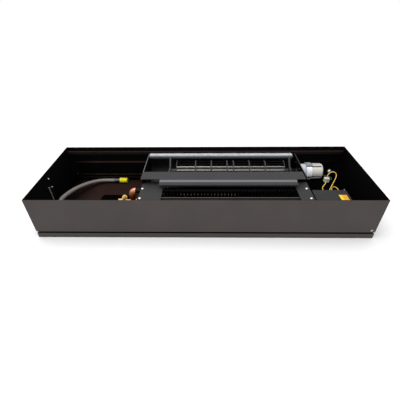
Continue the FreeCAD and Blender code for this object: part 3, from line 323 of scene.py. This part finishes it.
def blade_aluminium():
    """Brushed aluminium with painted shade: near black on the faces that look inwards, where normal . (place
    - axis) is below 0, and darker on the upper blades, between two angles atan2(z, y) round the axis."""
    metal = worked_metal("brushed_blade_aluminium", "#9d9b98", "#c6c3bf", (0.34, 0.52), 1.0, BRUSHED_ALONG_X)
    tree = metal.tree
    normal = add(tree, "TexCoord", {}, "Normal")
    out = add(tree, "VectorMath", {0: metal.place, 1: FAN_AXIS}, operation="SUBTRACT")
    facing = add(tree, "VectorMath", {0: out, 1: normal}, "Value", operation="DOT_PRODUCT")
    parts = add(tree, "SeparateXYZ", {"Vector": out}).node.outputs
    angle = add(tree, "Math", {0: parts["Z"], 1: parts["Y"]}, operation="ARCTAN2")
    first, last = BLADE_SHADE_ANGLES
    upper_shade = add(tree, "Math", {0: angle, 1: 0.5 * (first + last), 2: 0.5 * (last - first)},
                  operation="COMPARE")
    with_upper_shade = add(tree, "Mix", {0: upper_shade, 6: metal.colour, 7: "#2a2725"}, 2, data_type="RGBA")
    outward = add(tree, "Math", {0: facing, 1: 0.0}, operation="GREATER_THAN")
    return recolour(metal, add(tree, "Mix", {0: outward, 6: "#161514", 7: with_upper_shade}, 2, data_type="RGBA"))


dress(blade_aluminium(), "impeller_blades")
ring_plastic = moulded_plastic("dark_ring_plastic", "#18181a", "#242427", (0.44, 0.56))
dress(ring_plastic, "impeller_rings", "left_end_disc", "right_end_disc")
spider_plastic = moulded_plastic("grey_spider_plastic", "#2a2a2c", "#37373a", (0.44, 0.56))
dress(spider_plastic, "left_bearing_spider", "right_bearing_spider")
ground_steel = worked_metal("ground_shaft_steel", "#8f8f90", "#c9c9ca", (0.17, 0.35), 0.6, BRUSHED_ALONG_X)
dress(ground_steel, "impeller_shafts", "motor_shaft")
dress(moulded_rubber("moulded_black_rubber", "#060606", "#0c0b0b", 1.3), "bearing_bushes", "shaft_coupling")


# Fan motor: a cast bell and can, painted pale, on a zinc flange, with a moulded plastic rear shell and end
# cap, all on the impeller's axis. A seam runs along the top of can and shell and another below, with a white
# band under it that is a painted highlight. Paint and plastic have the same half gloss.
UPPER_SEAM, LOWER_SEAM, LOWER_HIGHLIGHT_END = np.radians([116.0, -166.0, -105.0])
SEAM_HALF = math.radians(5.0)
MOTOR_GLOSS = 0.4
MOTOR_ROUGHNESS = (0.34, 0.5)


def seamed_coat(name, dark, pale, top, low):
    """Three shades by the angle round the motor's axis, atan2(z, y), the low band a painted highlight, with a
    dark line along each seam.
    """
    coat = powder_coat(name, dark, pale, MOTOR_ROUGHNESS, MOTOR_GLOSS)
    tree = coat.tree
    out = add(tree, "VectorMath", {0: coat.place, 1: FAN_AXIS}, operation="SUBTRACT")
    parts = add(tree, "SeparateXYZ", {"Vector": out}).node.outputs
    angle = add(tree, "Math", {0: parts["Z"], 1: parts["Y"]}, operation="ARCTAN2")
    bands = [(0.0, UPPER_SEAM, top), (LOWER_SEAM, LOWER_HIGHLIGHT_END, low)]
    bands += [(seam - SEAM_HALF, seam + SEAM_HALF, "#2c2b2a") for seam in (UPPER_SEAM, LOWER_SEAM)]
    colour = coat.colour
    for first, last, shade in bands:
        inside = add(tree, "Math", {0: angle, 1: 0.5 * (first + last), 2: 0.5 * (last - first)},
                     operation="COMPARE")
        colour = add(tree, "Mix", {0: inside, 6: colour, 7: shade}, 2, data_type="RGBA")
    return recolour(coat, colour)


dress(galvanised("galvanised_flange_sheet", "#6f7275", "#9da0a3"), "motor_flange")
dress(powder_coat("pale_bell_coat", "#b6babe", "#c9cdd1", MOTOR_ROUGHNESS, MOTOR_GLOSS), "motor_bell")
dress(seamed_coat("pale_can_coat", "#eff3f7", "#f5f9fd", "#85878a", "#f7fafc"), "motor_can")
shell_plastic = seamed_coat("warm_grey_shell_plastic", "#d3d0c8", "#d9d6ce", "#b8b6b0", "#fffefb")
dress(shell_plastic, "motor_rear_shell")
cap_plastic = powder_coat("warm_grey_cap_plastic", "#cbc8c1", "#d6d3cb", MOTOR_ROUGHNESS, MOTOR_GLOSS)
dress(cap_plastic, "motor_end_cap")


# Heat exchanger: two copper tubes through forty thin aluminium fins, joined by a copper bend and held
# between two galvanised end plates, whose dark zinc is painted shade. Fins and tubes are coated black, with a
# painted highlight on the tops of some fins, the front plate is taupe, and a windowed cover in grey powder
# coat lies over them.
FIN_SHINE = {"X": (46.0, 224.0), "Y": (8.0, 14.0), "Z": (50.0, 57.0)}
# The pale tops of some fins are a painted highlight.
coat_with_painted_highlight("black_coated_fin_aluminium", "fin_pack", "#7d6d65", FIN_SHINE)
dress(matt_black, "exchanger_tubes")
dress(worked_metal("drawn_copper", "#d17a4e", "#f2a77c", (0.3, 0.48), 1.2, metallic=0.55), "return_bend")
# The end plates' dark zinc is painted shade.
dress(galvanised("galvanised_sheet_painted_shade", "#26272a", "#3a3b3e"), "left_end_plate", "right_end_plate")
dress(powder_coat("taupe_plate_coat", "#5c524e", "#6e635e", (0.42, 0.58)), "exchanger_front_plate")
grey_coat = powder_coat("grey_powder_coat", "#323133", "#393839", (0.47, 0.63))
dress(grey_coat, "frame_cover")


# Water connections: a drawn copper bend painted darker towards its foot as shade, a cast brass elbow with a
# bleed boss and its slotted screw, and the hose's turned brass union, nut and nipple. Steel ferrules are
# crimped on the hose's ends.
SHADE_REACH = 26.0 * MM


def copper_with_painted_shade():
    """Drawn copper with painted shade that runs evenly with height from red-brown at the bend's foot to
    bright at its crown.
    """
    metal = worked_metal("copper_with_painted_shade", "#e08a5c", "#ffba90", (0.3, 0.48), 1.2, metallic=0.45)
    height = add(metal.tree, "SeparateXYZ", {"Vector": metal.place}, "Z")
    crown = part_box("supply_bend")[1].z
    rise = add(metal.tree, "MapRange", {
        "Value": height, "From Min": crown - SHADE_REACH, "From Max": crown})
    colour = add(metal.tree, "Mix", {0: rise, 6: "#7a2c12", 7: metal.colour}, 2, data_type="RGBA")
    return recolour(metal, colour)


dress(copper_with_painted_shade(), "supply_bend")
brass = worked_metal("turned_brass", "#d9a93f", "#f7d984", (0.24, 0.42), 0.9, metallic=0.6)
dress(brass, "supply_elbow", "return_union", "hose_nut", "hose_nipple", "air_vent", "bleed_screw")
dress(worked_metal("crimped_steel", "#4a4a4c", "#737376", (0.37, 0.55), 0.9), "near_ferrule", "far_ferrule")


# Screws and rivets: zinc plated steel, bright against the dark sheet inside the trough.
# The screws that hold the walls from outside are painted darker as shade.
def screw_zinc():
    """Bright zinc plate, painted darker as shade where |y| is past the trough's long walls."""
    metal = worked_metal("bright_zinc_plate", "#c3c6c8", "#f0f1f2", (0.22, 0.4), 0.7)
    depth = add(metal.tree, "SeparateXYZ", {"Vector": metal.place}, "Y")
    away = add(metal.tree, "Math", {0: depth}, operation="ABSOLUTE")
    past = add(metal.tree, "Math", {0: away, 1: TROUGH_REACH["Y"] - OUTER_SKIN},
               operation="GREATER_THAN")
    colour = add(metal.tree, "Mix", {0: past, 6: metal.colour, 7: "#989491"}, 2, data_type="RGBA")
    return recolour(metal, colour)


dress(screw_zinc(), "screws")
dress(worked_metal("pale_rivet_zinc", "#c3c6c8", "#f0f1f2", (0.32, 0.5), 0.7, metallic=0.3), "rivets")


# Hose: a flexible rubber return hose of 14 mm in a braided steel sleeve, screwed to the exchanger's front
# tube and turned back on itself along the floor. A moulded yellow cap keeps dirt out of its free end.
HOSE_RADIUS = 7.0 * MM
HOSE_ROUTE = MM * np.array([
    (-264.5, -73.025, 62.0), (-312.0, -73.025, 62.0), (-364.0, -84.0, 61.0), (-412.0, -88.0, 58.0),
    (-451.0, -72.0, 52.0), (-474.0, -34.0, 45.0), (-471.0, 10.0, 38.0), (-456.0, 57.0, 31.0),
    (-429.0, 101.0, 23.0), (-394.0, 131.0, 15.5), (-362.0, 137.0, 12.0), (-341.0, 137.0, 12.0)])
HOSE_SIDES = 32
STRANDS_ROUND = 14
STRAND_LENGTH = 6.0 * MM


def spline_curve(name, route, radius=0.0):
    """One open quadratic NURBS spline with the route's points as its control points."""
    curve = bpy.data.curves.new(name, "CURVE")
    curve.dimensions = "3D"
    curve.bevel_depth = radius
    curve.bevel_resolution = 4
    curve.use_fill_caps = radius > 0.0
    curve.resolution_u = 12
    spline = curve.splines.new("NURBS")
    spline.points.add(len(route) - 1)
    spline.points.foreach_set("co", np.column_stack([route, np.ones(len(route))]).ravel())
    spline.order_u = 3
    spline.use_endpoint_u = True
    return bpy.data.objects.new(name, curve)


def spline_points(route):
    """The points of the route's smooth line, as the curve itself gives them."""
    line = spline_curve("line", route)
    curve = line.data
    mesh = line.to_mesh()
    points = np.empty(3 * len(mesh.vertices))
    mesh.vertices.foreach_get("co", points)
    line.to_mesh_clear()
    bpy.data.objects.remove(line)
    bpy.data.curves.remove(curve)
    return points.reshape(-1, 3)


def sleeve_mesh(points):
    """A tube on the line: centre + radius * (cos a * side + sin a * up), with side level and up square to
    both. Its UV map holds the run along the hose in metres and the share of a turn round it."""
    along = np.gradient(points, axis=0)
    along /= np.linalg.norm(along, axis=1, keepdims=True)
    side = np.cross(along, (0.0, 0.0, 1.0))
    side /= np.linalg.norm(side, axis=1, keepdims=True)
    up = np.cross(side, along)
    angle = np.linspace(0.0, 2.0 * np.pi, HOSE_SIDES, endpoint=False)[None, :, None]
    ring = np.cos(angle) * side[:, None, :] + np.sin(angle) * up[:, None, :]
    row, column = np.meshgrid(np.arange(len(points) - 1), np.arange(HOSE_SIDES), indexing="ij")
    rows = np.stack([row, row, row + 1, row + 1], axis=-1).reshape(-1, 4)
    columns = np.stack([column, column + 1, column + 1, column], axis=-1).reshape(-1, 4)
    mesh = bpy.data.meshes.new("hose_sleeve")
    mesh.from_pydata((points[:, None, :] + HOSE_RADIUS * ring).reshape(-1, 3), [],
                     (rows * HOSE_SIDES + columns % HOSE_SIDES).tolist())
    run = np.concatenate([[0.0], np.cumsum(np.linalg.norm(np.diff(points, axis=0), axis=1))])
    layer = mesh.uv_layers.new(name="sleeve")
    layer.data.foreach_set("uv", np.stack([run[rows], columns / HOSE_SIDES], axis=-1).ravel())
    mesh.shade_smooth()
    return mesh


def woven_sleeve():
    """Braided steel, dulled: with u the run and v the turn, sin(2 pi (n v + u / p)) times
    sin(2 pi (n v - u / p)) gives the diamonds of the weave, pale on their crests and dark in their gaps."""
    material, tree, place = open_material("woven_hose_sleeve")
    uv = add(tree, "UVMap", {}, uv_map="sleeve")
    parts = add(tree, "SeparateXYZ", {"Vector": uv}).node.outputs
    run = add(tree, "Math", {0: parts["X"], 1: 2.0 * math.pi / STRAND_LENGTH}, operation="MULTIPLY")
    turn = add(tree, "Math", {0: parts["Y"], 1: 2.0 * math.pi * STRANDS_ROUND},
               operation="MULTIPLY")
    waves = {}
    for number, operation in enumerate(("ADD", "SUBTRACT")):
        phase = add(tree, "Math", {0: turn, 1: run}, operation=operation)
        waves[number] = add(tree, "Math", {0: phase}, operation="SINE")
    weave = add(tree, "Math", waves, operation="MULTIPLY")
    height = add(tree, "MapRange", {"Value": weave, "From Min": -1.0})
    colour = add(tree, "Mix", {0: height, 6: "#4e4946", 7: "#b4aca7"}, 2, data_type="RGBA")
    rough = add(tree, "MapRange", {"Value": height, "To Min": 0.55, "To Max": 0.4})
    bump = add(tree, "Bump", {"Height": height, "Strength": 0.6, "Distance": 0.4 * MM})
    return close_material(material, tree, place, {
        "Base Color": colour, "Roughness": rough, "Normal": bump, "Metallic": 0.35})


def place_piece(name, data, finish):
    """A new object at the origin that rides the trough."""
    data.materials.append(finish.material)
    piece = bpy.data.objects.new(name, data)
    bpy.context.scene.collection.objects.link(piece)
    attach(piece, "root")
    return piece


hose_line = spline_points(HOSE_ROUTE)
sleeve = place_piece("hose_sleeve", sleeve_mesh(hose_line), woven_sleeve())
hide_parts("hose")
dress(moulded_plastic("yellow_cap_plastic", "#ffe710", "#fff63a", (0.34, 0.46)), "protective_cap")


# Control box: a folded steel box with a skirted lid in the right-hand bay, in the grey coat of the frame
# cover, with a bare enamelled plate on its lid. Its four wire glands and the cable grommet in the rear
# wall are moulded grey plastic.
PLATE_SIZE = np.array([25.0, 27.0, 0.3]) * MM
PLATE_FROM_RIGHT = 7.5 * MM
PLATE_FROM_FRONT = 46.0 * MM
YELLOW_WIDTH = 9.0 * MM
ENAMEL_CLOUD = 9.0 * MM


def plate_mesh(low, high):
    """A thin box: all eight mixes of the low and the high corner, joined by six quads."""
    corners = np.stack(np.meshgrid(*np.stack([low, high], axis=1), indexing="ij"), axis=-1).reshape(-1, 3)
    faces = [(0, 1, 3, 2), (4, 6, 7, 5), (0, 4, 5, 1), (2, 3, 7, 6), (0, 2, 6, 4), (1, 5, 7, 3)]
    mesh = bpy.data.meshes.new("lid_plate")
    mesh.from_pydata(corners, [], faces)
    return mesh


def plate_enamel(edge):
    """Enamel, slightly cloudy and half glossy: yellow to the left of the edge and orange to its right."""
    material, tree, place = open_material("two_tone_plate_enamel")
    along = add(tree, "SeparateXYZ", {"Vector": place}, "X")
    cloud = add(tree, "TexNoise", {"Vector": place, "Scale": 1.0 / ENAMEL_CLOUD})
    yellow = add(tree, "Mix", {0: cloud, 6: "#f3cf17", 7: "#ffe63c"}, 2, data_type="RGBA")
    orange = add(tree, "Mix", {0: cloud, 6: "#ee9d12", 7: "#ffb826"}, 2, data_type="RGBA")
    right = add(tree, "Math", {0: along, 1: edge}, operation="GREATER_THAN")
    colour = add(tree, "Mix", {0: right, 6: yellow, 7: orange}, 2, data_type="RGBA")
    return close_material(material, tree, place, {"Base Color": colour, "Roughness": 0.45})


dress(grey_coat, "control_box_lid", "control_box_base")
gland_plastic = moulded_plastic("grey_gland_plastic", "#8d8d8c", "#aaaaa8", (0.39, 0.51))
dress(gland_plastic, "wire_glands", "cable_grommet")
lid_low, lid_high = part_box("control_box_lid")
plate_left = lid_high.x - PLATE_FROM_RIGHT - PLATE_SIZE[0]
plate_low = np.array([plate_left, lid_low.y + PLATE_FROM_FRONT, lid_high.z])
enamel = plate_enamel(plate_left + YELLOW_WIDTH)
place_piece("lid_plate", plate_mesh(plate_low, plate_low + PLATE_SIZE), enamel)


# Wires: thin stranded leads in yellow insulation, two from the control box to a white plug and one that
# bows back to the box, and the motor's own short grey lead to the plug. They hang freely above the floor.
WIRE_RADIUS = 1.2 * MM
LEAD_RADIUS = 1.3 * MM
LEFT_ROUTE = MM * np.array([
    (397, -4, 54), (397, 5, 54), (395, 17, 58.5), (404, 28, 63), (414, 38, 66), (414, 48, 66)])
LOOP_ROUTE = MM * np.array([
    (415, -4, 54), (415, 5, 54), (423, 17, 61), (433, 30, 68.5), (443, 43, 77), (449, 54, 88), (441, 61, 96),
    (428, 61, 93), (419, 56, 84), (419, 56, 75)])
RIGHT_ROUTE = MM * np.array([
    (426, -4, 54), (426, 6, 54), (426, 17, 56.5), (432, 24, 58.5), (441, 24, 58.5), (447, 17, 56.5),
    (447, 6, 54), (447, -4, 54)])
LEAD_ROUTE = MM * np.array([
    (409, 84, 67), (419, 84, 67), (432, 81, 66.5), (440.5, 71, 66), (440, 61, 66.5), (435.5, 55, 67),
    (427, 55, 67)])


def wire(name, node, route, radius, insulation):
    """A round wire on its route, in place of the CAD node that it hides."""
    piece = spline_curve(name, route, radius)
    piece.data.materials.append(insulation.material)
    bpy.context.scene.collection.objects.link(piece)
    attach(piece, "root")
    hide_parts(node)


yellow_wire = moulded_plastic("yellow_wire_insulation", "#ffd531", "#ffe96a", (0.36, 0.48))
grey_wire = moulded_plastic("grey_lead_insulation", "#3b3b3e", "#57575b", (0.39, 0.51))
wire("wire_left_lead", "wire_left", LEFT_ROUTE, WIRE_RADIUS, yellow_wire)
wire("wire_loop_lead", "wire_loop", LOOP_ROUTE, WIRE_RADIUS, yellow_wire)
wire("wire_right_lead", "wire_right", RIGHT_ROUTE, WIRE_RADIUS, yellow_wire)
wire("motor_lead_wire", "motor_lead", LEAD_ROUTE, LEAD_RADIUS, grey_wire)
dress(moulded_plastic("white_plug_plastic", "#c9c8c2", "#e6e5df", (0.36, 0.48)), "wire_plug")


# Studio: a sheet of white paper under the trough, an even white sky and two soft boxes, one above and
# one in front. The camera stands in front and above, as fitted to the trough's corners in the photograph.
FLOOR_SIZE = 3.0
PAPER_FIBRE = 6.0 * MM      # real fibres of 1 to 3 mm are too fine to show
SKY_LIGHT = 0.95
FOCAL_PIXELS = 287.35
PICTURE_PIXELS = 400.0
SENSOR_MM = 36.0
CAMERA_PLACE = MM * np.array([7.05, -781.53, 609.42])
PITCH, YAW, ROLL = np.radians([36.973, -1.510, -0.864])


def white_paper():
    """Matt white paper, a touch uneven where its fibres lie, that keeps the trough's soft shadow."""
    material, tree, place = open_material("white_paper_floor")
    fibre = add(tree, "TexNoise", {"Vector": place, "Scale": 1.0 / PAPER_FIBRE, "Detail": 3.0})
    colour = add(tree, "Mix", {0: fibre, 6: "#f6f6f6", 7: "#ffffff"}, 2, data_type="RGBA")
    return close_material(material, tree, place, {
        "Base Color": colour, "Roughness": 0.9, "Specular IOR Level": 0.1})


def studio_floor():
    """A square at the level of the trough's underside."""
    half = 0.5 * FLOOR_SIZE
    corners = [(-half, -half, 0.0), (half, -half, 0.0), (half, half, 0.0), (-half, half, 0.0)]
    mesh = bpy.data.meshes.new("floor")
    mesh.from_pydata(corners, [], [(0, 1, 2, 3)])
    mesh.materials.append(white_paper().material)
    floor = bpy.data.objects.new("floor", mesh)
    bpy.context.scene.collection.objects.link(floor)


def studio_world():
    """An even sky at SKY_LIGHT, and at 1, which is white, where the camera, mirrors or glass see it."""
    world = bpy.data.worlds.new("studio")
    world.use_nodes = True
    tree = world.node_tree
    tree.nodes.clear()
    path = add(tree, "LightPath", {}).node.outputs
    seen = path["Is Camera Ray"]
    for name in ("Is Glossy Ray", "Is Transmission Ray"):
        seen = add(tree, "Math", {0: seen, 1: path[name]}, operation="MAXIMUM")
    strength = add(tree, "MapRange", {"Value": seen, "To Min": SKY_LIGHT})
    sky = add(tree, "Background", {"Color": "#ffffff", "Strength": strength})
    add(tree, "OutputWorld", {"Surface": sky})
    bpy.context.scene.world = world


def studio_lamp(name, place, target, size, watts):
    """A square soft box that looks at the target."""
    light = bpy.data.lights.new(name, "AREA")
    light.shape = "SQUARE"
    light.size = size
    light.energy = watts
    lamp = bpy.data.objects.new(name, light)
    aim = Vector(target) - Vector(place)
    lamp.matrix_world = Matrix.Translation(Vector(place)) @ aim.to_track_quat("-Z", "Y").to_matrix().to_4x4()
    bpy.context.scene.collection.objects.link(lamp)


def studio_camera():
    """Axes from yaw, pitch and roll: forward, right along the floor and up, the last two rolled."""
    forward = np.array([math.sin(YAW) * math.cos(PITCH), math.cos(YAW) * math.cos(PITCH), -math.sin(PITCH)])
    level = np.array([math.cos(YAW), -math.sin(YAW), 0.0])
    upright = np.cross(level, forward)
    right = math.cos(ROLL) * level + math.sin(ROLL) * upright
    up = math.cos(ROLL) * upright - math.sin(ROLL) * level
    lens = bpy.data.cameras.new("camera")
    lens.sensor_width = SENSOR_MM
    lens.lens = SENSOR_MM * FOCAL_PIXELS / PICTURE_PIXELS
    camera = bpy.data.objects.new("camera", lens)
    turned = Matrix([list(row) for row in np.column_stack([right, up, -forward])]).to_4x4()
    camera.matrix_world = Matrix.Translation(Vector(CAMERA_PLACE)) @ turned
    bpy.context.scene.collection.objects.link(camera)
    bpy.context.scene.camera = camera


studio_floor()
studio_world()
studio_lamp("key", (-0.4, -0.1, 2.0), (0.0, 0.0, 0.0), 1.4, 18.0)
studio_lamp("front", (0.2, -2.2, 0.4), (0.0, 0.0, 0.07), 0.8, 5.0)
studio_camera()
bpy.context.scene.view_settings.view_transform = "Standard"
